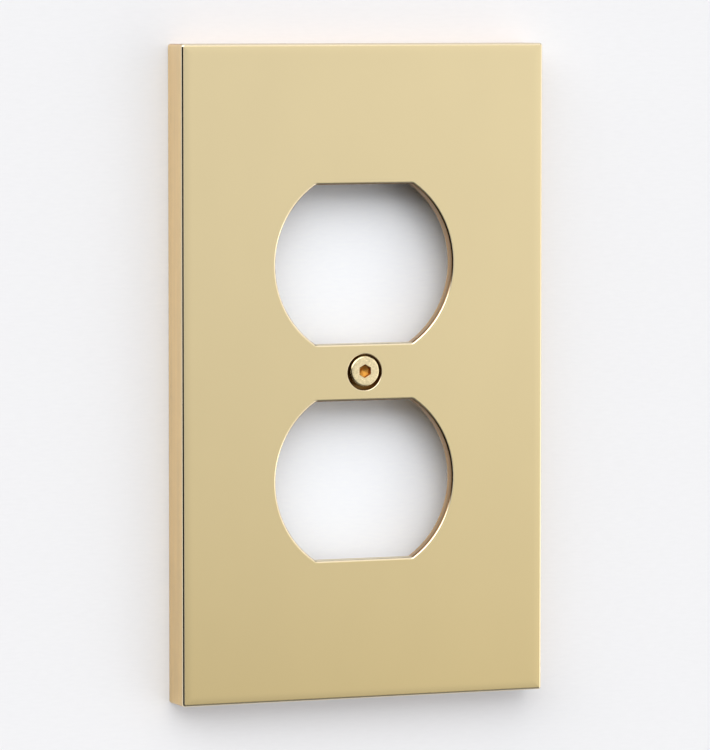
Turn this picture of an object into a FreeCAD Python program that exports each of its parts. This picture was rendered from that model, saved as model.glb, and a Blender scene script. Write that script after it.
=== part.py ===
"""Duplex outlet wall plate: one thick brass plate with a hollow back, and its hex socket screw.

Millimetres. X runs across the plate, Z up it, and +Y into the wall. The origin is the middle of
the plate on the wall's surface, so the back rim lies in Y = 0 and the front face at -PLATE_DEPTH.
"""

import FreeCAD, Part
import math
import os

from FreeCAD import Vector

# Plate: outside
PLATE_WIDTH = 69.85
PLATE_HEIGHT = 118.0
PLATE_DEPTH = 7.3
PLATE_CORNER_RADIUS = 0.5
FRONT_EDGE_RADIUS = 0.45
BACK_EDGE_CHAMFER = 0.3

# Plate: the pocket in its back, which clears the strap of the outlet
FACE_THICKNESS = 2.0
RIM_WIDTH = 3.0
RIM_DRAFT_DEG = 2.0
POCKET_CORNER_RADIUS = 3.0
POCKET_FLOOR_RADIUS = 1.0

# Plate: the two openings are circles with a flat cut off them at top and bottom, and a bridge
# between them carries the screw; together these give the standard spacing of 38.89
OPENING_DIAMETER = 34.13
OPENING_FLAT_CUT = 2.775
OPENING_CORNER_RADIUS = 0.8
OPENING_EDGE_RADIUS = 0.45
BRIDGE_HEIGHT = 10.31

# Screw: low cylinder head with a hex socket, on a 6-32 shank drawn at its outside diameter
HEAD_DIAMETER = 5.5
HEAD_HEIGHT = 2.0
HEAD_EDGE_RADIUS = 0.3
SOCKET_ACROSS_FLATS = 2.1
SOCKET_DEPTH = 1.1
SOCKET_POINT_DEG = 118.0
SHANK_DIAMETER = 3.505
SHANK_LENGTH = 12.7
TIP_CHAMFER = 0.5

# Screw: the neck under its head is thinner than the thread and ends just behind the boss
NECK_RELIEF = 0.3
NECK_PAST_BOSS = 0.4

# Fit: the head stands a little proud of the face, and the screw has play in its hole, which
# lets it sit above the middle of its seat
HEAD_PROUD = 0.3
HEAD_CLEARANCE = 0.5
SHANK_CLEARANCE = 0.35
SCREW_RISE = 0.2

# Plate: the screw's seat, and the low boss behind it
SEAT_EDGE_RADIUS = 0.2
BOSS_WALL = 2.4
BOSS_HEIGHT = 1.2
BOSS_FOOT_RADIUS = 0.4

# How far a cutting tool stands out of the face that it cuts through
OVERRUN = 1.0

# Sizes and places that follow from the values above
OPENING_HEIGHT = OPENING_DIAMETER - 2 * OPENING_FLAT_CUT
OPENING_SPACING = OPENING_HEIGHT + BRIDGE_HEIGHT
SEAT_DIAMETER = HEAD_DIAMETER + 2 * HEAD_CLEARANCE
HOLE_DIAMETER = SHANK_DIAMETER + 2 * SHANK_CLEARANCE
BOSS_DIAMETER = HOLE_DIAMETER + 2 * BOSS_WALL
FRONT_Y = -PLATE_DEPTH
HEAD_TOP_Y = FRONT_Y - HEAD_PROUD
SEAT_Y = HEAD_TOP_Y + HEAD_HEIGHT
POCKET_FLOOR_Y = FRONT_Y + FACE_THICKNESS
BOSS_END_Y = POCKET_FLOOR_Y + BOSS_HEIGHT

TOLERANCE = 1e-4
ALONG_Y = Vector(0, 1, 0)


def arc_bend(radius):
    """How far the middle of a quarter arc lies inside its corner, along each side."""
    return radius * (1 - math.sqrt(0.5))


def block(width, height, start_y, end_y, centre_z=0):
    """Box centred on an axis along Y."""
    corner = Vector(-width / 2, start_y, centre_z - height / 2)
    return Part.makeBox(width, end_y - start_y, height, corner)


def cylinder(diameter, start_y, end_y, centre_z=0):
    """Cylinder about an axis along Y."""
    return Part.makeCylinder(diameter / 2, end_y - start_y, Vector(0, start_y, centre_z), ALONG_Y)


def turned(edges):
    """Solid of a closed profile in the plane Z = 0, turned about the Y axis."""
    return Part.Face(Part.Wire(edges)).revolve(Vector(0, 0, 0), ALONG_Y, 360)


def line(start, end):
    """Straight edge between two points of a profile, each given as x and y."""
    return Part.LineSegment(Vector(*start, 0), Vector(*end, 0)).toShape()


def arc(start, middle, end):
    """Arc through three points of a profile, each given as x and y."""
    return Part.Arc(Vector(*start, 0), Vector(*middle, 0), Vector(*end, 0)).toShape()


def long_edges(shape):
    """Edges that run from the front of a prism to its back."""
    return [edge for edge in shape.Edges if edge.BoundBox.YLength > shape.BoundBox.YLength / 2]


def edges_in_plane(shape, y, reach, centre_z=0):
    """Edges that lie in the plane y, in a square about (0, centre_z) that reaches that far."""
    found = []
    for edge in shape.Edges:
        box = edge.BoundBox
        flat = max(abs(box.YMin - y), abs(box.YMax - y)) < TOLERANCE
        farthest = max(-box.XMin, box.XMax, centre_z - box.ZMin, box.ZMax - centre_z)
        if flat and farthest < reach + TOLERANCE:
            found.append(edge)
    return found


def outer_block():
    """The plate's outside, with rounded corners, rounded front edges and broken back edges."""
    body = block(PLATE_WIDTH, PLATE_HEIGHT, FRONT_Y, 0)
    body = body.makeFillet(PLATE_CORNER_RADIUS, long_edges(body))
    body = body.makeChamfer(BACK_EDGE_CHAMFER, edges_in_plane(body, 0, PLATE_HEIGHT))
    return body.makeFillet(FRONT_EDGE_RADIUS, edges_in_plane(body, FRONT_Y, PLATE_HEIGHT))


def pocket():
    """Cutter for the hollow back: drafted sides that open towards the wall, and rounded corners."""
    slope = math.tan(math.radians(RIM_DRAFT_DEG))
    # The rim has its stated width in the plane of the wall, and thickens towards the floor.
    floor_inset = RIM_WIDTH - POCKET_FLOOR_Y * slope
    mouth_inset = RIM_WIDTH - OVERRUN * slope
    floor_x = PLATE_WIDTH / 2 - floor_inset
    floor_z = PLATE_HEIGHT / 2 - floor_inset
    mouth_x = PLATE_WIDTH / 2 - mouth_inset
    mouth_z = PLATE_HEIGHT / 2 - mouth_inset
    hollow = Part.makeWedge(
        -floor_x, POCKET_FLOOR_Y, -floor_z, -mouth_z, -mouth_x, floor_x, OVERRUN, floor_z, mouth_z, mouth_x
    )
    hollow = hollow.makeFillet(POCKET_CORNER_RADIUS, long_edges(hollow))
    return hollow.makeFillet(POCKET_FLOOR_RADIUS, edges_in_plane(hollow, POCKET_FLOOR_Y, PLATE_HEIGHT))


def boss():
    """Low round boss that backs the screw's seat, with a fillet where it meets the pocket floor."""
    radius = BOSS_DIAMETER / 2
    foot = BOSS_FOOT_RADIUS
    root_y = POCKET_FLOOR_Y - FACE_THICKNESS / 2
    return turned(
        [
            line((0, root_y), (radius + foot, root_y)),
            line((radius + foot, root_y), (radius + foot, POCKET_FLOOR_Y)),
            arc(
                (radius + foot, POCKET_FLOOR_Y),
                (radius + arc_bend(foot), POCKET_FLOOR_Y + arc_bend(foot)),
                (radius, POCKET_FLOOR_Y + foot),
            ),
            line((radius, POCKET_FLOOR_Y + foot), (radius, BOSS_END_Y)),
            line((radius, BOSS_END_Y), (0, BOSS_END_Y)),
            line((0, BOSS_END_Y), (0, root_y)),
        ]
    )


def opening(centre_z):
    """Cutter for one opening: a cylinder cut off by two flats, with its four corners rounded."""
    ends = (FRONT_Y - OVERRUN, OVERRUN)
    disc = cylinder(OPENING_DIAMETER, *ends, centre_z)
    band = block(OPENING_DIAMETER + 2 * OVERRUN, OPENING_HEIGHT, *ends, centre_z)
    cutter = disc.common(band).removeSplitter()
    corners = [edge for edge in long_edges(cutter) if abs(edge.CenterOfMass.z - centre_z) > OPENING_HEIGHT / 4]
    return cutter.makeFillet(OPENING_CORNER_RADIUS, corners)


def wall_plate():
    """The plate: block, pocket and boss, then the stepped screw hole and the two openings."""
    plate = outer_block().cut(pocket()).fuse(boss())
    plate = plate.cut(cylinder(HOLE_DIAMETER, FRONT_Y - OVERRUN, BOSS_END_Y + OVERRUN))
    plate = plate.cut(cylinder(SEAT_DIAMETER, FRONT_Y - OVERRUN, SEAT_Y))
    plate = plate.makeFillet(SEAT_EDGE_RADIUS, edges_in_plane(plate, FRONT_Y, SEAT_DIAMETER / 2))
    for centre_z in (OPENING_SPACING / 2, -OPENING_SPACING / 2):
        plate = plate.cut(opening(centre_z))
        lip = edges_in_plane(plate, FRONT_Y, OPENING_DIAMETER / 2, centre_z)
        plate = plate.makeFillet(OPENING_EDGE_RADIUS, lip)
    return plate.removeSplitter()


def hex_socket():
    """Cutter for the hex socket: a prism with corners up and down, and the drill's point below it."""
    corner_radius = SOCKET_ACROSS_FLATS / math.sqrt(3)
    mouth_y = HEAD_TOP_Y - OVERRUN
    floor_y = HEAD_TOP_Y + SOCKET_DEPTH
    corners = []
    for degrees in range(0, 361, 60):
        angle = math.radians(degrees)
        corners.append(Vector(corner_radius * math.sin(angle), mouth_y, corner_radius * math.cos(angle)))
    hexagon = Part.Face(Part.makePolygon(corners)).extrude(Vector(0, floor_y - mouth_y, 0))
    drill_radius = SOCKET_ACROSS_FLATS / 2
    point_length = drill_radius / math.tan(math.radians(SOCKET_POINT_DEG / 2))
    point = Part.makeCone(drill_radius, 0, point_length, Vector(0, floor_y, 0), ALONG_Y)
    return hexagon.fuse(point)


def plate_screw():
    """The screw: head, neck and shank turned as one profile, less the socket, then raised."""
    head_radius = HEAD_DIAMETER / 2
    shank_radius = SHANK_DIAMETER / 2
    neck_radius = shank_radius - NECK_RELIEF
    neck_end_y = BOSS_END_Y + NECK_PAST_BOSS
    tip_y = SEAT_Y + SHANK_LENGTH
    head_flat = (head_radius - HEAD_EDGE_RADIUS, HEAD_TOP_Y)
    head_bend = (head_radius - arc_bend(HEAD_EDGE_RADIUS), HEAD_TOP_Y + arc_bend(HEAD_EDGE_RADIUS))
    head_side = (head_radius, HEAD_TOP_Y + HEAD_EDGE_RADIUS)
    outline = [
        head_side,
        (head_radius, SEAT_Y),
        (neck_radius, SEAT_Y),
        (neck_radius, neck_end_y),
        (shank_radius, neck_end_y + NECK_RELIEF),
        (shank_radius, tip_y - TIP_CHAMFER),
        (shank_radius - TIP_CHAMFER, tip_y),
        (0, tip_y),
        (0, HEAD_TOP_Y),
        head_flat,
    ]
    edges = [line(start, end) for start, end in zip(outline, outline[1:])]
    edges.append(arc(head_flat, head_bend, head_side))
    screw = turned(edges).cut(hex_socket())
    screw.translate(Vector(0, 0, SCREW_RISE))
    return screw


def main():
    os.makedirs("parts", exist_ok=True)
    for name, shape in (("wall_plate", wall_plate()), ("plate_screw", plate_screw())):
        if not shape.isValid() or len(shape.Solids) != 1:
            raise ValueError(f"{name} is not one valid solid")
        shape.Solids[0].exportStep(f"parts/{name}.step")
        print(f"{name}: {shape.Volume:.1f} mm3, {len(shape.Faces)} faces")


main()
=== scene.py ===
import math

import bpy
import numpy as np
from bpy.props import FloatProperty, FloatVectorProperty, PointerProperty
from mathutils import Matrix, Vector


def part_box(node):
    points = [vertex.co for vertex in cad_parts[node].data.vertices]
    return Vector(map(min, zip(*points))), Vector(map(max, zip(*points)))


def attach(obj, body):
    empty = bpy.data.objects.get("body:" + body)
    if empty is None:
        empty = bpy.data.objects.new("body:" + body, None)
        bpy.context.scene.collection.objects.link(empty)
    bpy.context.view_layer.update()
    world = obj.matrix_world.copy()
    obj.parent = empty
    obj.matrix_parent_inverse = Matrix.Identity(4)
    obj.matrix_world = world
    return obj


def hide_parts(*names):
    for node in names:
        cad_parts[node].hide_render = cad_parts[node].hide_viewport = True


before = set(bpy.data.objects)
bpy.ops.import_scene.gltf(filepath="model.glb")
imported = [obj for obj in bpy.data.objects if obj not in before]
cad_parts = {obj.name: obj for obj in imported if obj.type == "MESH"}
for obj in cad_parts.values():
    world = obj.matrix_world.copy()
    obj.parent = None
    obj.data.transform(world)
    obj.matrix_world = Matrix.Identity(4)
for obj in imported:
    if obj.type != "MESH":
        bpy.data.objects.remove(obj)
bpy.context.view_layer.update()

bl_info = {
    "name": "Duplex outlet wall plate",
    "version": (1, 0, 0),
    "blender": (4, 5, 0),
    "location": "3D View > Sidebar > Wall plate",
    "description": "Satin brass looks for a one-gang wall plate with its hex socket screw",
    "category": "Object",
}

MM = 0.001
UM = 0.000001

# The plate hangs on its wall: X runs to the right, Y into the wall, Z up, and its front is at PLATE_LOW.y
PLATE_LOW, PLATE_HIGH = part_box("wall_plate")
SCREW_LOW, SCREW_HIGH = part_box("plate_screw")
SCREW_AXIS_Z = (SCREW_LOW.z + SCREW_HIGH.z) / 2

# Sizes of the plate that its box doesn't tell
FACE_THICKNESS = 2.0 * MM
SEAT_RADIUS = 3.25 * MM
SEAT_DEPTH = 1.7 * MM

WHITE = (1.0, 1.0, 1.0, 1.0)


def linear(colour):
    """The linear red, green and blue of an sRGB hex colour such as "#D9C28F"."""
    channels = [int(colour[i:i + 2], 16) / 255 for i in (1, 3, 5)]
    return tuple(c / 12.92 if c <= 0.04045 else ((c + 0.055) / 1.055) ** 2.4 for c in channels)


class PlateFinish(bpy.types.PropertyGroup):
    """Colours and surface of the brass plate."""

    face: FloatVectorProperty(
        name="Face", description="Brass of the lapped front",
        subtype="COLOR", min=0, max=1, default=linear("#DAC99F"))
    side: FloatVectorProperty(
        name="Side", description="Brass of the sawn and milled sides, a little redder",
        subtype="COLOR", min=0, max=1, default=linear("#EDD09C"))
    hollow: FloatVectorProperty(
        name="Hollow", description="Brass of the milled back, which gets no polish",
        subtype="COLOR", min=0, max=1, default=linear("#CDB27C"))
    edge: FloatVectorProperty(
        name="Edge", description="Brass of the burnished edges",
        subtype="COLOR", min=0, max=1, default=linear("#E6D8BA"))
    # Painted shade: this darker brown stands for the shade on the openings' walls that face left or down,
    # and is also laid on both ends
    cut: FloatVectorProperty(
        name="Painted shade", description="Brass browned by the cutter, on both ends and inside the openings",
        subtype="COLOR", min=0, max=1, default=linear("#B29069"))
    # Painted shade: this dark brown stands for the shade in the screw's counterbore, lighter at its mouth
    # and darker at its floor
    seat: FloatVectorProperty(
        name="Seat", description="Dark brown lacquer left in the screw's counterbore",
        subtype="COLOR", min=0, max=1, default=linear("#96703C"))
    # Painted shade: these darken and warm the front and the sides towards the plate's foot
    face_foot_shade: FloatVectorProperty(
        name="Face foot", description="What the lacquer leaves of the front's colour at the plate's foot",
        subtype="COLOR", min=0, max=1, default=(0.93, 0.89, 0.76))
    side_foot_shade: FloatVectorProperty(
        name="Side foot", description="What the lacquer leaves of the sides' colour at the plate's foot",
        subtype="COLOR", min=0, max=1, default=(0.85, 0.83, 0.76))
    satin: FloatProperty(
        name="Satin", description="Roughness of the front", default=0.26, min=0.05, max=0.8)
    burnish: FloatProperty(
        name="Burnish", description="Roughness of the rounded edges", default=0.08, min=0.05, max=0.8)
    grain_width: FloatProperty(
        name="Grain width", description="Width of one brush line", unit="LENGTH", default=0.25 * MM)
    grain_length: FloatProperty(
        name="Grain length", description="Length of one brush line", unit="LENGTH", default=14 * MM)
    grain_depth: FloatProperty(
        name="Grain depth", description="Depth of one brush line", unit="LENGTH", default=0.07 * UM)
    streak_depth: FloatProperty(
        name="Streak depth", description="Depth of the cutter's streaks on the sides",
        unit="LENGTH", default=2 * UM)
    mill_depth: FloatProperty(
        name="Mill depth", description="Depth of the mill's marks on the back",
        unit="LENGTH", default=12 * UM)
    crown_width: FloatProperty(
        name="Crown width", description="How far in from the outline the polished face rolls off",
        unit="LENGTH", default=1.8 * MM)
    crown_drop: FloatProperty(
        name="Crown drop", description="How deep the polished face rolls off at the outline",
        unit="LENGTH", default=0.05 * MM)


class ScrewShape(bpy.types.PropertyGroup):
    """Sizes and colours of the hex socket screw."""

    head_radius: FloatProperty(
        name="Head radius", description="Half the width of the head",
        unit="LENGTH", default=(SCREW_HIGH.z - SCREW_LOW.z) / 2)
    head_height: FloatProperty(
        name="Head height", description="From the seat to the top", unit="LENGTH", default=2.0 * MM)
    head_edge: FloatProperty(
        name="Head edge", description="Radius round the head's top", unit="LENGTH", default=0.3 * MM)
    across_flats: FloatProperty(
        name="Socket", description="Width of the hex socket across its flats",
        unit="LENGTH", default=2.1 * MM)
    socket_depth: FloatProperty(
        name="Socket depth", description="Depth of the socket's flats", unit="LENGTH", default=1.1 * MM)
    socket_break: FloatProperty(
        name="Socket break", description="Bevel round the socket's mouth", unit="LENGTH", default=0.07 * MM)
    thread_radius: FloatProperty(
        name="Thread radius", description="Half the outside diameter of a 6-32 thread",
        unit="LENGTH", default=1.7525 * MM)
    pitch: FloatProperty(
        name="Pitch", description="Distance between turns: 32 to the inch",
        unit="LENGTH", default=0.79375 * MM)
    neck_radius: FloatProperty(
        name="Neck radius", description="Half the width of the relieved neck",
        unit="LENGTH", default=1.4525 * MM)
    neck_length: FloatProperty(
        name="Neck length", description="From the seat to the start of the thread",
        unit="LENGTH", default=1.9 * MM)
    tip_bevel: FloatProperty(
        name="Tip bevel", description="Bevel at the end of the thread", unit="LENGTH", default=0.5 * MM)
    brass: FloatVectorProperty(
        name="Brass", description="Paler turned brass of the screw",
        subtype="COLOR", min=0, max=1, default=linear("#E4D3A9"))
    # Painted shade: this browner colour stands for the shade inside the hex socket
    socket_shade_brass: FloatVectorProperty(
        name="Socket brass", description="Browner brass inside the broached socket",
        subtype="COLOR", min=0, max=1, default=linear("#C98F40"))


class StudioSetup(bpy.types.PropertyGroup):
    """Camera, backdrop wall and light."""

    camera_place: FloatVectorProperty(
        name="Camera", description="Where the camera stands",
        subtype="TRANSLATION", unit="LENGTH", default=(-0.37503, -0.92752, 0.0674))
    camera_aim: FloatVectorProperty(
        name="Aim", description="The point in the middle of the picture",
        subtype="TRANSLATION", unit="LENGTH", default=(0.00109, 0.0, -0.0010))
    focal_length: FloatProperty(
        name="Focal length", description="In millimetres, for a picture side of 36 mm", default=265.9)
    wall: FloatVectorProperty(
        name="Wall", description="Matt white paint",
        subtype="COLOR", min=0, max=1, default=linear("#EEEEF0"))
    lift: FloatProperty(
        name="Lift", description="How far the wall outside the plate is whitened for the camera",
        subtype="FACTOR", default=0.3, min=0, max=1)
    plaster: FloatVectorProperty(
        name="Plaster", description="Whiter wall that the plate covers",
        subtype="COLOR", min=0, max=1, default=linear("#F9FBFF"))
    key: FloatProperty(
        name="Key", description="Brightness of the wide softbox, ahead and above on the left",
        default=3.0, min=0)
    ceiling: FloatProperty(
        name="Ceiling", description="Brightness of the white ceiling and its slope above the screen",
        default=1.1, min=0)
    screen: FloatProperty(
        name="Screen", description="Brightness of the tall screen on the right, which the front mirrors",
        default=1.24, min=0)
    daylight: FloatProperty(
        name="Daylight", description="Brightness of the daylight beside the plate on the far right",
        default=1.8, min=0)
    floor: FloatProperty(
        name="Floor", description="Brightness of the pale floor under the screen", default=1.8, min=0)
    fill: FloatProperty(
        name="Fill", description="Brightness of the weak light beside the camera", default=0.95, min=0)
    backlight: FloatProperty(
        name="Backlight", description="Brightness behind the wall, which only lights the hollow back",
        default=1.0, min=0)


def add(tree, kind, inputs=(), **settings):
    """Adds a node of that kind and gives back its outputs. inputs are its values, or the sockets that feed
    them, in order or by name or number. settings are its other properties."""
    made = tree.nodes.new(kind)
    for name, value in settings.items():
        setattr(made, name, value)
    for name, value in inputs.items() if isinstance(inputs, dict) else enumerate(inputs):
        if isinstance(value, bpy.types.NodeSocket):
            tree.links.new(value, made.inputs[name])
        else:
            made.inputs[name].default_value = value
    return made.outputs


def material(name):
    """An empty node material and its tree."""
    made = bpy.data.materials.new(name)
    made.use_nodes = True
    made.node_tree.nodes.clear()
    return made, made.node_tree


def plate_zones(tree, inset, deep, from_screw):
    """Tells which part of the plate a point is on, by sockets that are 1 there and 0 elsewhere. They go by
    how far in from the outline, how deep behind the front and how far from the screw the point lies, and by
    where the surface faces. along_y is 1 where that is front or back, and along_z where it is up or down."""
    normal = add(tree, "ShaderNodeNewGeometry")["Normal"]
    facing_x, _, facing_z = add(tree, "ShaderNodeSeparateXYZ", (normal,))
    unsigned = add(tree, "ShaderNodeVectorMath", (normal,), operation="ABSOLUTE")[0]
    _, along_y, along_z = add(tree, "ShaderNodeSeparateXYZ", (unsigned,))

    # Each of these is 0 at its first number and rises smoothly to 1 at its second
    zones = {"everywhere": 1.0}
    for name, value, zero_at, one_at in (
            ("border", inset, 1.2 * MM, 0.6 * MM),
            ("inner", inset, 0.6 * MM, 1.2 * MM),
            ("back", deep, FACE_THICKNESS - 0.12 * MM, FACE_THICKNESS - 0.04 * MM),
            ("front", deep, FACE_THICKNESS - 0.04 * MM, FACE_THICKNESS - 0.12 * MM),
            ("counterbore", from_screw, SEAT_RADIUS + 0.04 * MM, SEAT_RADIUS - 0.02 * MM),
            ("flat", along_y, 0.9, 0.99),
            ("steep", along_y, 0.86, 0.74),
            ("upright", along_y, 0.25, 0.05),
            ("not_flat", along_y, 0.995, 0.96),
            ("not_upright", along_y, 0.06, 0.2),
            ("leftward", facing_x, -0.15, -0.3),
            ("downward", facing_z, -0.3, -0.5),
            ("end_on", along_z, 0.6, 0.8)):
        zones[name] = add(tree, "ShaderNodeMapRange", (value, zero_at, one_at),
                          interpolation_type="SMOOTHSTEP")[0]

    # MULTIPLY and MINIMUM keep what is in both zones, and MAXIMUM what is in either. The openings' walls
    # that face left or down get painted shade, a darker brown that both ends get too. The other walls keep
    # the front's look
    for name, first, operation, second in (
            ("hollow", "back", "MULTIPLY", "inner"),
            ("side", "upright", "MULTIPLY", "border"),
            ("end", "side", "MULTIPLY", "end_on"),
            ("bored", "inner", "MINIMUM", "front"),
            ("shaded", "leftward", "MAXIMUM", "downward"),
            ("shaded_bore", "shaded", "MULTIPLY", "bored"),
            ("cut", "steep", "MULTIPLY", "shaded_bore"),
            ("brown", "cut", "MAXIMUM", "end"),
            ("unshaded", "everywhere", "SUBTRACT", "cut"),
            ("polished", "unshaded", "MINIMUM", "front"),
            ("rounded", "not_upright", "MULTIPLY", "not_flat"),
            ("edge", "rounded", "MULTIPLY", "polished"),
            ("seat", "counterbore", "MULTIPLY", "front")):
        zones[name] = add(tree, "ShaderNodeMath", (zones[first], zones[second]), operation=operation)[0]
    return zones


def lay_over(tree, colour, layers):
    """Lays each layer over a colour. A layer is where it lies, its own colour and its brightness there."""
    for where, own_colour, brightness in layers:
        shaded = add(tree, "ShaderNodeVectorMath", {0: own_colour, "Scale": brightness},
                     operation="SCALE")[0]
        colour = add(tree, "ShaderNodeMix", {0: where, 6: colour, 7: shaded}, data_type="RGBA")[2]
    return colour


def satin_brass(finish):
    """Cartridge brass plate. The front is lapped and brushed along its length to an even satin, its edges
    are burnished, its sides keep the cutter's streaks along their length, and its back is bare from the
    mill. The eye gets a calm pale gold face inside a crisp bright and dark outline, and a redder, streaky
    side. Painted shade darkens the openings' walls that face left or down, both ends, the counterbore
    and the plate towards its foot."""
    made, tree = material("satin_cartridge_brass")
    place = add(tree, "ShaderNodeTexCoord")["Object"]
    _, y, up = add(tree, "ShaderNodeSeparateXYZ", (place,))
    deep = add(tree, "ShaderNodeMath", (y, PLATE_LOW.y), operation="SUBTRACT")[0]
    unsigned = add(tree, "ShaderNodeVectorMath", (place,), operation="ABSOLUTE")[0]
    to_border = add(tree, "ShaderNodeVectorMath", (PLATE_HIGH, unsigned), operation="SUBTRACT")[0]
    in_x, _, in_z = add(tree, "ShaderNodeSeparateXYZ", (to_border,))
    inset = add(tree, "ShaderNodeMath", (in_x, in_z), operation="MINIMUM")[0]
    flattened = add(tree, "ShaderNodeVectorMath", (place, (1.0, 0.0, 1.0)), operation="MULTIPLY")[0]
    from_screw = add(tree, "ShaderNodeVectorMath", (flattened,), operation="LENGTH")["Value"]
    zones = plate_zones(tree, inset, deep, from_screw)

    # Brush lines run up the front, and the cutter's streaks run along each side and end. A real brush line
    # is about 0.05 mm wide, which is too fine to show, so it is drawn five times as wide. A cell is the
    # size of one mark along X, Y and Z
    patterns = {}
    for name, cell, detail, roughness in (
            ("brush", (finish.grain_width, finish.grain_width, finish.grain_length), 2.0, 0.5),
            ("cloud", (16 * MM, 16 * MM, 24 * MM), 3.0, 0.5),
            ("side_streak", (1.1 * MM, 1.1 * MM, 40 * MM), 4.0, 0.6),
            ("end_streak", (40 * MM, 1.1 * MM, 1.1 * MM), 4.0, 0.6),
            ("blotch", (6 * MM, 3 * MM, 9 * MM), 3.0, 0.5),
            ("mill", (0.9 * MM, 0.9 * MM, 0.9 * MM), 5.0, 0.65)):
        per_cell = [1 / size for size in cell]
        cells = add(tree, "ShaderNodeVectorMath", (place, per_cell), operation="MULTIPLY")[0]
        patterns[name] = add(tree, "ShaderNodeTexNoise", {"Vector": cells, "Scale": 1.0, "Detail": detail,
                                                          "Roughness": roughness})[0]
    patterns["streak"] = add(tree, "ShaderNodeMix", {0: zones["end_on"], 2: patterns["side_streak"],
                                                     3: patterns["end_streak"]})[0]

    # What each pattern does between two of its levels, to a brightness or to a roughness
    tones = {}
    for name, pattern, low, high, at_low, at_high in (
            ("brushed", "brush", 0.3, 0.7, 0.997, 1.003),
            ("clouded", "cloud", 0.3, 0.7, 0.992, 1.008),
            ("streaked", "streak", 0.25, 0.75, 0.95, 1.04),
            ("blotched", "blotch", 0.3, 0.7, 0.98, 1.02),
            ("milled", "mill", 0.3, 0.7, 0.9, 1.06),
            ("front_roughness", "brush", 0.2, 0.8, finish.satin - 0.01, finish.satin + 0.01),
            ("side_roughness", "streak", 0.3, 0.7, 0.28, 0.34),
            ("hollow_roughness", "mill", 0.3, 0.7, 0.34, 0.5)):
        tones[name] = add(tree, "ShaderNodeMapRange", (patterns[pattern], low, high, at_low, at_high),
                          interpolation_type="SMOOTHSTEP")[0]
    front_tone = add(tree, "ShaderNodeMath", (tones["brushed"], tones["clouded"]), operation="MULTIPLY")[0]
    side_tone = add(tree, "ShaderNodeMath", (tones["streaked"], tones["blotched"]), operation="MULTIPLY")[0]

    # Painted shade and light by depth: the shaded walls are darker at the front and painted lighter further
    # back, and the counterbore is painted lighter at its mouth and darker towards its floor
    shade_by_depth = add(tree, "ShaderNodeMapRange", (deep, 0.3 * MM, FACE_THICKNESS - 0.1 * MM, 0.62, 1.35))[0]
    seat_shade_by_depth = add(tree, "ShaderNodeMapRange", (deep, 0.2 * MM, SEAT_DEPTH, 1.6, 0.4))[0]

    # Painted shade darkens and warms the plate towards its foot, by the square of how far down it is
    down = add(tree, "ShaderNodeMapRange", (up, PLATE_HIGH.z, PLATE_LOW.z))[0]
    down = add(tree, "ShaderNodeMath", (down, down), operation="MULTIPLY")[0]
    foot = add(tree, "ShaderNodeMix", {0: zones["side"], 6: (*finish.face_foot_shade, 1.0),
                                       7: (*finish.side_foot_shade, 1.0)}, data_type="RGBA")[2]
    foot = add(tree, "ShaderNodeMix", {0: down, 6: WHITE, 7: foot}, data_type="RGBA")[2]

    # Painted shade: the brown layer darkens the shaded opening walls and the ends, and the seat layer
    # darkens the counterbore
    colour = add(tree, "ShaderNodeVectorMath", {0: finish.face, "Scale": front_tone}, operation="SCALE")[0]
    colour = lay_over(tree, colour, (
        (zones["side"], finish.side, side_tone), (zones["brown"], finish.cut, shade_by_depth)))
    colour = add(tree, "ShaderNodeVectorMath", (colour, foot), operation="MULTIPLY")[0]
    colour = lay_over(tree, colour, (
        (zones["hollow"], finish.hollow, tones["milled"]), (zones["edge"], finish.edge, 1.0),
        (zones["seat"], finish.seat, seat_shade_by_depth)))

    rough = tones["front_roughness"]
    for zone, own_roughness in (
            ("side", tones["side_roughness"]),
            ("hollow", tones["hollow_roughness"]),
            ("edge", finish.burnish)):
        rough = add(tree, "ShaderNodeMix", {0: zones[zone], 2: rough, 3: own_roughness})[0]

    # The polished face rolls off towards the outline, by the square of how near the outline is
    near = add(tree, "ShaderNodeMapRange", (inset, finish.crown_width, 0.0))[0]
    near = add(tree, "ShaderNodeMath", (near, near), operation="MULTIPLY")[0]
    height = 0.0
    for pattern, zone, depth in (
            (patterns["brush"], "everywhere", finish.grain_depth),
            (patterns["streak"], "side", finish.streak_depth),
            (patterns["mill"], "hollow", finish.mill_depth),
            (near, "flat", -finish.crown_drop)):
        marked = add(tree, "ShaderNodeMath", (pattern, zones[zone]), operation="MULTIPLY")[0]
        height = add(tree, "ShaderNodeMath", (marked, depth, height), operation="MULTIPLY_ADD")[0]
    bump = add(tree, "ShaderNodeBump", {"Strength": 1.0, "Distance": 1.0, "Height": height})[0]
    shader = add(tree, "ShaderNodeBsdfPrincipled",
                 {"Base Color": colour, "Metallic": 1.0, "Roughness": rough, "Normal": bump})[0]
    add(tree, "ShaderNodeOutputMaterial", {"Surface": shader})
    return made


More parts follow.
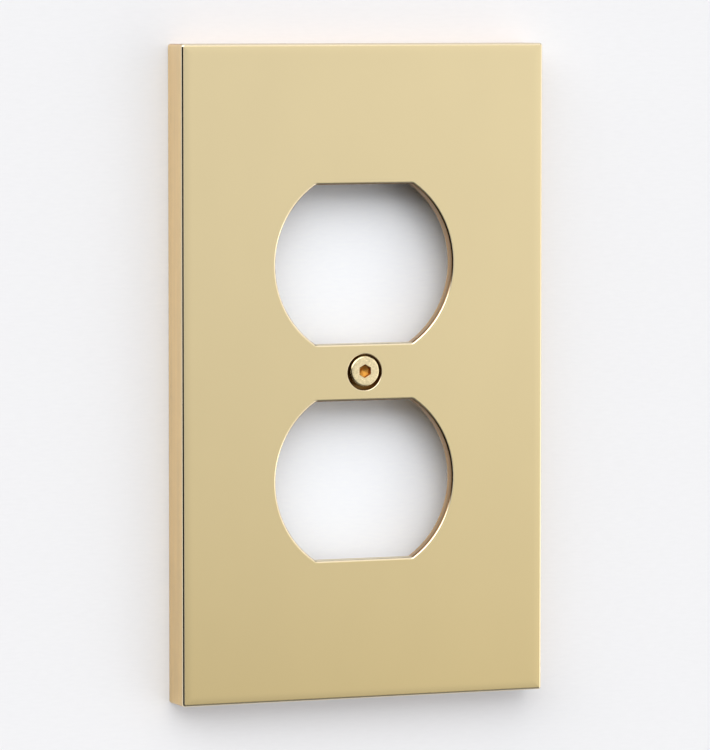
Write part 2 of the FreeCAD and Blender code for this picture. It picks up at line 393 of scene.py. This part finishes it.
def turned_brass(screw):
    """Free-cutting brass turned on a lathe. The eye gets a brighter and paler head than the plate, because
    nothing dulls it, with a faint mottle, fine rings round its axis and a socket painted browner as shade."""
    made, tree = material("turned_free_cutting_brass")
    place = add(tree, "ShaderNodeTexCoord")["Object"]
    _, y, _ = add(tree, "ShaderNodeSeparateXYZ", (place,))
    from_axis = add(tree, "ShaderNodeVectorMath", (place, (1.0, 0.0, 1.0), (0.0, 0.0, -SCREW_AXIS_Z)),
                    operation="MULTIPLY_ADD")[0]
    radius = add(tree, "ShaderNodeVectorMath", (from_axis,), operation="LENGTH")["Value"]

    # The lathe's rings are about 0.05 mm apart, which is too fine to show, so they are drawn at 0.12 mm
    rings = add(tree, "ShaderNodeTexNoise", {"W": radius, "Scale": 1 / (0.12 * MM), "Detail": 3.0},
                noise_dimensions="1D")[0]
    specks = add(tree, "ShaderNodeTexNoise", {"Vector": place, "Scale": 1 / (0.5 * MM), "Detail": 3.0,
                                              "Roughness": 0.6})[0]

    # The socket is what lies under the bevel of its mouth, near the axis and inside the head
    mouth = SCREW_LOW.y + screw.socket_break
    socket = add(tree, "ShaderNodeMapRange", (y, mouth, mouth + screw.socket_break))[0]
    widest = 0.65 * screw.across_flats
    deepest = SCREW_LOW.y + 0.95 * screw.head_height
    for value, limit in ((radius, widest), (y, deepest)):
        inside = add(tree, "ShaderNodeMath", (value, limit), operation="LESS_THAN")[0]
        socket = add(tree, "ShaderNodeMath", (socket, inside), operation="MULTIPLY")[0]

    tone = add(tree, "ShaderNodeMapRange", (specks, 0.34, 0.66, 0.83, 1.12))[0]
    # Painted shade: the socket gets the browner colour
    colour = add(tree, "ShaderNodeMix", {0: socket, 6: (*screw.brass, 1.0), 7: (*screw.socket_shade_brass, 1.0)},
                 data_type="RGBA")[2]
    colour = add(tree, "ShaderNodeVectorMath", {0: colour, "Scale": tone}, operation="SCALE")[0]
    rough = add(tree, "ShaderNodeMapRange", (specks, 0.3, 0.7, 0.14, 0.28))[0]
    rough = add(tree, "ShaderNodeMix", {0: socket, 2: rough, 3: 0.45})[0]
    height = add(tree, "ShaderNodeMath", (rings, 0.8 * UM), operation="MULTIPLY")[0]
    height = add(tree, "ShaderNodeMath", (specks, 2.0 * UM, height), operation="MULTIPLY_ADD")[0]
    bump = add(tree, "ShaderNodeBump", {"Strength": 1.0, "Distance": 1.0, "Height": height})[0]
    shader = add(tree, "ShaderNodeBsdfPrincipled",
                 {"Base Color": colour, "Metallic": 1.0, "Roughness": rough, "Normal": bump})[0]
    add(tree, "ShaderNodeOutputMaterial", {"Surface": shader})
    return made


def wall_paint(studio):
    """Matt emulsion on a smooth wall. The eye gets nothing but the plate's soft shadow and a faint roller
    texture. Seen from behind the wall is clear, so that the plate's hollow back can be looked at."""
    made, tree = material("matt_white_emulsion")
    place = add(tree, "ShaderNodeTexCoord")["Object"]
    cells = add(tree, "ShaderNodeVectorMath", (place, (1 / (2.2 * MM), 1.0, 1 / (0.45 * MM))),
                operation="MULTIPLY")[0]
    roller = add(tree, "ShaderNodeTexNoise", {"Vector": cells, "Scale": 1.0, "Detail": 2.0})[0]
    tone = add(tree, "ShaderNodeMapRange", (roller, 0.25, 0.75, 0.985, 1.015))[0]

    # The plaster starts a little inside the plate's outline
    x, _, z = add(tree, "ShaderNodeSeparateXYZ", (place,))
    overlap = 1.5 * MM
    in_width = add(tree, "ShaderNodeMath", (x, 0.0, PLATE_HIGH.x - overlap), operation="COMPARE")[0]
    in_height = add(tree, "ShaderNodeMath", (z, 0.0, PLATE_HIGH.z - overlap), operation="COMPARE")[0]
    covered = add(tree, "ShaderNodeMath", (in_width, in_height), operation="MULTIPLY")[0]
    bare = add(tree, "ShaderNodeMath", (1.0, covered), operation="SUBTRACT")[0]
    colour = add(tree, "ShaderNodeMix", {0: covered, 6: (*studio.wall, 1.0), 7: (*studio.plaster, 1.0)},
                 data_type="RGBA")[2]
    colour = add(tree, "ShaderNodeVectorMath", {0: colour, "Scale": tone}, operation="SCALE")[0]
    paint = add(tree, "ShaderNodeBsdfDiffuse", {"Color": colour})[0]

    # The camera, mirrors and glass see the bare wall partly whitened, with the shadows on it
    ray = add(tree, "ShaderNodeLightPath")
    looked_at = ray["Is Camera Ray"]
    for other in ("Is Glossy Ray", "Is Transmission Ray"):
        looked_at = add(tree, "ShaderNodeMath", (looked_at, ray[other]), operation="MAXIMUM")[0]
    whitened = add(tree, "ShaderNodeMath", (looked_at, bare), operation="MULTIPLY")[0]
    whitened = add(tree, "ShaderNodeMath", (whitened, studio.lift), operation="MULTIPLY")[0]
    white = add(tree, "ShaderNodeEmission", {"Color": (*studio.wall, 1.0), "Strength": 1.0})[0]
    paint = add(tree, "ShaderNodeMixShader", (whitened, paint, white))[0]

    # A ray that comes from behind passes the wall
    clear = add(tree, "ShaderNodeBsdfTransparent")[0]
    from_behind = add(tree, "ShaderNodeNewGeometry")["Backfacing"]
    passing = add(tree, "ShaderNodeMath", (from_behind, ray["Transparent Depth"]), operation="ADD",
                  use_clamp=True)[0]
    shown = add(tree, "ShaderNodeMixShader", (passing, paint, clear))[0]
    add(tree, "ShaderNodeOutputMaterial", {"Surface": shown})
    return made


def ring_mesh(name, radius, along, angle, axis_z):
    """A closed skin of rings round the Y axis, moved up to axis_z. Ring i at angle a is the point
    (radius[i, a] cos a, along[i], radius[i, a] sin a). A fan closes the first and the last ring."""
    rows, columns = radius.shape
    x = radius * np.cos(angle)
    y = np.broadcast_to(along[:, None], radius.shape)
    z = radius * np.sin(angle) + axis_z
    rings = np.stack([x, y, z], axis=-1).reshape(-1, 3)
    poles = np.array([[0, along[0], axis_z], [0, along[-1], axis_z]])
    here = np.arange(rows * columns).reshape(rows, columns)
    beside = np.roll(here, -1, axis=1)
    quads = np.stack([here[:-1], beside[:-1], beside[1:], here[1:]], axis=-1).reshape(-1, 4)
    start = np.stack([beside[0], here[0], np.full(columns, rows * columns)], axis=-1)
    end = np.stack([here[-1], beside[-1], np.full(columns, rows * columns + 1)], axis=-1)
    mesh = bpy.data.meshes.new(name)
    mesh.from_pydata(np.concatenate([rings, poles]).tolist(), [],
                     quads.tolist() + start.tolist() + end.tolist())
    mesh.shade_smooth()
    mesh.set_sharp_from_angle(angle=math.radians(32))
    mesh.update()
    return mesh


def thread_radius(screw, along, angle, start, end):
    """Radius of a right-hand thread, as deep as a unified one. The share of a turn since the last crest is
    u = fraction(along / pitch + angle / turn). The radius falls from the crest's flat, an eighth of the
    pitch wide, in a straight flank to the root's flat, a quarter of the pitch wide. The groove deepens from
    nothing over the first turn, and the bevels at the neck and the tip cut the crests."""
    thread_depth = 0.6134 * screw.pitch
    crest_end = 1 / 16
    root_start = 3 / 8
    turns = along / screw.pitch + angle / (2 * math.pi)
    from_crest = np.abs((turns + 0.5) % 1.0 - 0.5)
    groove = np.clip((from_crest - crest_end) / (root_start - crest_end), 0, 1)
    deepening = np.clip((along - start) / screw.pitch, 0, 1)
    neck_bevel = screw.neck_radius + (along - start)
    tip_bevel = screw.thread_radius - screw.tip_bevel + (end - along)
    limit = np.minimum(np.minimum(neck_bevel, tip_bevel), screw.thread_radius)
    return np.minimum(screw.thread_radius - thread_depth * groove * deepening, limit)


def screw_mesh(screw):
    """The whole screw as one profile carried round the Y axis: the drill's point, the hex socket, the
    domed edge of the head, the seat, the neck and the thread. The socket's radius at angle a is that of a
    hexagon, half its flats over cos(a - the middle of its side)."""
    columns = 96
    rows_per_turn = 20
    angle = np.arange(columns) * 2 * math.pi / columns
    sixth = math.pi / 3
    flat = screw.across_flats / 2
    hexagon = flat / np.cos((angle - math.pi / 2) % sixth - sixth / 2)
    mouth = hexagon + screw.socket_break
    even = np.ones(columns)

    top = SCREW_LOW.y
    tip = SCREW_HIGH.y
    seat = top + screw.head_height
    neck_end = seat + screw.neck_length
    floor = top + screw.socket_depth
    shoulder = screw.head_radius - screw.head_edge
    point_radius = 0.05 * MM
    point_rim = 0.98 * flat
    point_slope = math.tan(math.radians(118 / 2))

    rows = [(even * point_radius, floor + (flat - point_radius) / point_slope), (even * point_rim, floor)]
    rows += [(hexagon, floor), (hexagon, top + screw.socket_break), (mouth, top)]
    rows += [((1 - share) * mouth + share * shoulder * even, top) for share in (0.35, 0.7)]
    for bend in np.linspace(0, math.pi / 2, 9):
        out = shoulder + screw.head_edge * math.sin(bend)
        rows.append((even * out, top + screw.head_edge * (1 - math.cos(bend))))
    rows += [(even * screw.head_radius, seat), (even * screw.neck_radius, seat)]
    radii, places = zip(*rows)

    along = np.linspace(neck_end, tip, int(rows_per_turn * (tip - neck_end) / screw.pitch))
    thread = thread_radius(screw, along[:, None], angle[None, :], neck_end, tip)
    return ring_mesh("plate_screw_turned", np.concatenate([radii, thread]), np.concatenate([places, along]),
                     angle, SCREW_AXIS_Z)


class WALLPLATE_OT_finish_plate(bpy.types.Operator):
    """Gives the plate its satin brass"""

    bl_idname = "wallplate.finish_plate"
    bl_label = "Finish plate"

    def execute(self, context):
        brass = satin_brass(context.scene.plate_finish)
        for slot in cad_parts["wall_plate"].material_slots:
            slot.material = brass
        return {"FINISHED"}


class WALLPLATE_OT_turn_screw(bpy.types.Operator):
    """Makes the threaded hex socket screw in place of the plain one"""

    bl_idname = "wallplate.turn_screw"
    bl_label = "Turn screw"

    def execute(self, context):
        screw = context.scene.plate_screw_shape
        mesh = screw_mesh(screw)
        mesh.materials.append(turned_brass(screw))
        piece = bpy.data.objects.new("plate_screw_turned", mesh)
        context.collection.objects.link(piece)
        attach(piece, "root")
        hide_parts("plate_screw")
        return {"FINISHED"}


class WALLPLATE_OT_set_stage(bpy.types.Operator):
    """Sets up the white wall, the studio's light and the camera"""

    bl_idname = "wallplate.set_stage"
    bl_label = "Set stage"

    def execute(self, context):
        studio = context.scene.plate_studio
        make_wall(context, studio)
        make_surround(context, studio)
        make_camera(context, studio)
        context.scene.view_settings.view_transform = "Standard"
        return {"FINISHED"}


def make_wall(context, studio):
    """A flat wall 2.4 m square, a hair behind the plate's rim."""
    half = 1.2
    gap = 0.02 * MM
    behind = PLATE_HIGH.y + gap
    corners = [(-half, behind, -half), (half, behind, -half), (half, behind, half), (-half, behind, half)]
    mesh = bpy.data.meshes.new("backdrop_wall")
    mesh.from_pydata(corners, [], [(0, 1, 2, 3)])
    mesh.materials.append(wall_paint(studio))
    wall = bpy.data.objects.new("backdrop_wall", mesh)
    context.collection.objects.link(wall)


def lit_patch(tree, turn, rise, borders, soft):
    """A patch of the studio, 1 inside its left, right, bottom and top border, which are angles in degrees,
    and falling to 0 over soft degrees either side of each. None leaves a side without a border."""
    inside = 1.0
    for value, border, inward in zip((turn, turn, rise, rise), borders, (soft, -soft, soft, -soft)):
        if border is not None:
            within = add(tree, "ShaderNodeMapRange",
                         (value, math.radians(border - inward), math.radians(border + inward)),
                         interpolation_type="SMOOTHSTEP")[0]
            inside = add(tree, "ShaderNodeMath", (inside, within), operation="MULTIPLY")[0]
    return inside


def make_surround(context, studio):
    """The studio that lights the wall and that the brass mirrors. A wide softbox ahead and above on the
    left is the key and draws the shadows. A tall screen on the right is what the plate's front mirrors,
    with bright daylight past it for the rims that face right, and a pale ceiling for those that face up.
    Low on the left nothing stands, which draws the dark line down the plate's left edge. Behind the wall is
    a plain light."""
    world = bpy.data.worlds.new("softbox_studio")
    context.scene.world = world
    world.use_nodes = True
    tree = world.node_tree
    tree.nodes.clear()

    # Turn is how far to the right of straight ahead a direction lies, and rise how far above the horizon
    toward = add(tree, "ShaderNodeTexCoord")["Generated"]
    x, y, z = add(tree, "ShaderNodeSeparateXYZ", (toward,))
    ahead = add(tree, "ShaderNodeMath", (y, -1.0), operation="MULTIPLY")[0]
    turn = add(tree, "ShaderNodeMath", (x, ahead), operation="ARCTAN2")[0]
    rise = add(tree, "ShaderNodeMath", (z,), operation="ARCSINE")[0]

    level = 0.0
    for borders, soft, light in (
            ((-90, 18, 14, 54), 8, studio.key),
            ((None, None, 54, None), 8, studio.ceiling),
            ((18, 55, 34, 54), 8, studio.ceiling),
            ((16, 75, -12, 34), 9, studio.screen),
            ((75, 120, -22, 34), 8, studio.daylight),
            ((42, 75, -50, -8), 8, studio.floor),
            ((14, 42, -50, -8), 8, 0.15 * studio.floor),
            ((-19, 12, -10, 14), 8, studio.fill),
            ((-19, 12, -50, -10), 8, 0.2 * studio.fill),
            ((None, None, None, -50), 8, 0.2 * studio.fill)):
        area = lit_patch(tree, turn, rise, borders, soft)
        level = add(tree, "ShaderNodeMath", (area, light, level), operation="MULTIPLY_ADD")[0]

    behind = add(tree, "ShaderNodeMapRange", (z, -1.0, 1.0, 0.6 * studio.backlight, 1.2 * studio.backlight),
                 interpolation_type="SMOOTHSTEP")[0]
    past_wall = add(tree, "ShaderNodeMapRange", (y, 0.0, 0.1), interpolation_type="SMOOTHSTEP")[0]
    level = add(tree, "ShaderNodeMix", {0: past_wall, 2: level, 3: behind})[0]
    lighting = add(tree, "ShaderNodeBackground", {"Color": WHITE, "Strength": level})[0]
    seen = add(tree, "ShaderNodeBackground", {"Color": (*studio.wall, 1.0), "Strength": 1.0})[0]
    camera_ray = add(tree, "ShaderNodeLightPath")["Is Camera Ray"]
    both = add(tree, "ShaderNodeMixShader", (camera_ray, lighting, seen))[0]
    add(tree, "ShaderNodeOutputWorld", {"Surface": both})


def make_camera(context, studio):
    """A long lens to the left of the plate and a little above it."""
    lens = bpy.data.cameras.new("camera")
    lens.lens = studio.focal_length
    lens.clip_end = 10.0
    camera = bpy.data.objects.new("camera", lens)
    camera.location = studio.camera_place
    line_of_sight = Vector(studio.camera_aim) - Vector(studio.camera_place)
    camera.rotation_euler = line_of_sight.to_track_quat("-Z", "Y").to_euler()
    context.collection.objects.link(camera)
    context.scene.camera = camera


class VIEW3D_PT_wall_plate(bpy.types.Panel):
    """Sizes, colours and steps of the wall plate"""

    bl_label = "Wall plate"
    bl_space_type = "VIEW_3D"
    bl_region_type = "UI"
    bl_category = "Wall plate"

    def draw(self, context):
        steps = (("plate_finish", "wallplate.finish_plate"), ("plate_screw_shape", "wallplate.turn_screw"),
                 ("plate_studio", "wallplate.set_stage"))
        for group_name, operator in steps:
            group = getattr(context.scene, group_name)
            box = self.layout.box()
            for prop in group.bl_rna.properties:
                if prop.identifier not in ("name", "rna_type"):
                    box.prop(group, prop.identifier)
            box.operator(operator)


CLASSES = (PlateFinish, ScrewShape, StudioSetup, WALLPLATE_OT_finish_plate, WALLPLATE_OT_turn_screw,
           WALLPLATE_OT_set_stage, VIEW3D_PT_wall_plate)


def register():
    for cls in CLASSES:
        bpy.utils.register_class(cls)
    bpy.types.Scene.plate_finish = PointerProperty(type=PlateFinish)
    bpy.types.Scene.plate_screw_shape = PointerProperty(type=ScrewShape)
    bpy.types.Scene.plate_studio = PointerProperty(type=StudioSetup)


def unregister():
    del bpy.types.Scene.plate_studio
    del bpy.types.Scene.plate_screw_shape
    del bpy.types.Scene.plate_finish
    for cls in reversed(CLASSES):
        bpy.utils.unregister_class(cls)


def main():
    register()
    bpy.ops.wallplate.finish_plate()
    bpy.ops.wallplate.turn_screw()
    bpy.ops.wallplate.set_stage()


if __name__ == "__main__":
    main()
